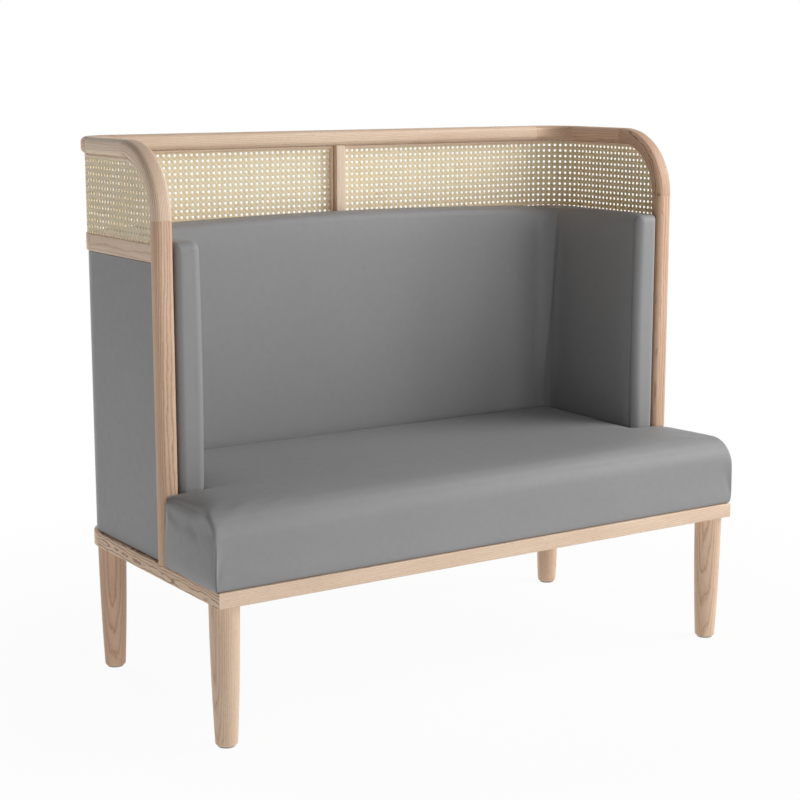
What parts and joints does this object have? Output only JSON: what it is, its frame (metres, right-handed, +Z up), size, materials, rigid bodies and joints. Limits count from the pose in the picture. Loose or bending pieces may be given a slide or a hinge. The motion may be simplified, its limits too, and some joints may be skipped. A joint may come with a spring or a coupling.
{
  "type": "restaurant booth bench",
  "caption": "High-backed upholstered booth bench for two, with a bent wooden hoop, cane webbing above padded walls, a deep seat cushion and turned legs.",
  "frame": {"origin": "on the floor under the middle of the whole bench's bounding box", "axes": "+X to the right seen from the front, +Y towards the back, +Z up; the front faces -Y"},
  "size_m": [1.318, 0.643, 1.145],
  "materials": {
    "oiled_oak": "clear matt oil on light oak",
    "frame_timber": "planed softwood",
    "plywood": "sanded plywood",
    "cane_webbing": "natural split cane, slight sheen",
    "grey_leather": "smooth satin upholstery leather",
    "black_lining": "non-woven lining",
    "zinc_plated_steel": "bright zinc plate",
    "nylon": "moulded nylon"
  },
  "bodies": {
    "root": {"back_pad": "grey_leather", "back_pad_board": "plywood", "base_corners": "oiled_oak", "base_cross_rail": "frame_timber", "base_rail_front": "oiled_oak", "base_rail_left": "oiled_oak", "base_rail_rear": "oiled_oak", "base_rail_right": "oiled_oak", "cane_back_left": "cane_webbing", "cane_back_right": "cane_webbing", "cane_bead_left": "oiled_oak", "cane_bead_right": "oiled_oak", "cane_corners": "cane_webbing", "cane_side_left": "cane_webbing", "cane_side_right": "cane_webbing", "centre_stile": "oiled_oak", "corner_block_front_left": "frame_timber", "corner_block_front_right": "frame_timber", "corner_block_rear_left": "frame_timber", "corner_block_rear_right": "frame_timber", "dust_cover": "black_lining", "front_legs": "oiled_oak", "hoop_dowels": "frame_timber", "leg_bolts": "zinc_plated_steel", "leg_glides": "nylon", "leg_plates": "zinc_plated_steel", "mid_corners": "oiled_oak", "mid_rail_back": "oiled_oak", "mid_rail_left": "oiled_oak", "mid_rail_right": "oiled_oak", "outer_panel_back": "grey_leather", "outer_panel_left": "grey_leather", "outer_panel_right": "grey_leather", "post_left": "oiled_oak", "post_right": "oiled_oak", "quarter_bends": "oiled_oak", "rear_legs": "oiled_oak", "seat_cushion": "grey_leather", "seat_deck": "plywood", "seat_frame_end_left": "frame_timber", "seat_frame_end_right": "frame_timber", "seat_frame_front": "frame_timber", "seat_frame_middle": "frame_timber", "seat_frame_rear": "frame_timber", "seat_frame_side_left": "frame_timber", "seat_frame_side_right": "frame_timber", "side_pad_board_left": "plywood", "side_pad_board_right": "plywood", "side_pad_left": "grey_leather", "side_pad_right": "grey_leather", "top_corners": "oiled_oak", "top_rail_back": "oiled_oak", "top_rail_left": "oiled_oak", "top_rail_right": "oiled_oak", "wall_studs": "frame_timber"}
  },
  "joints": []
}
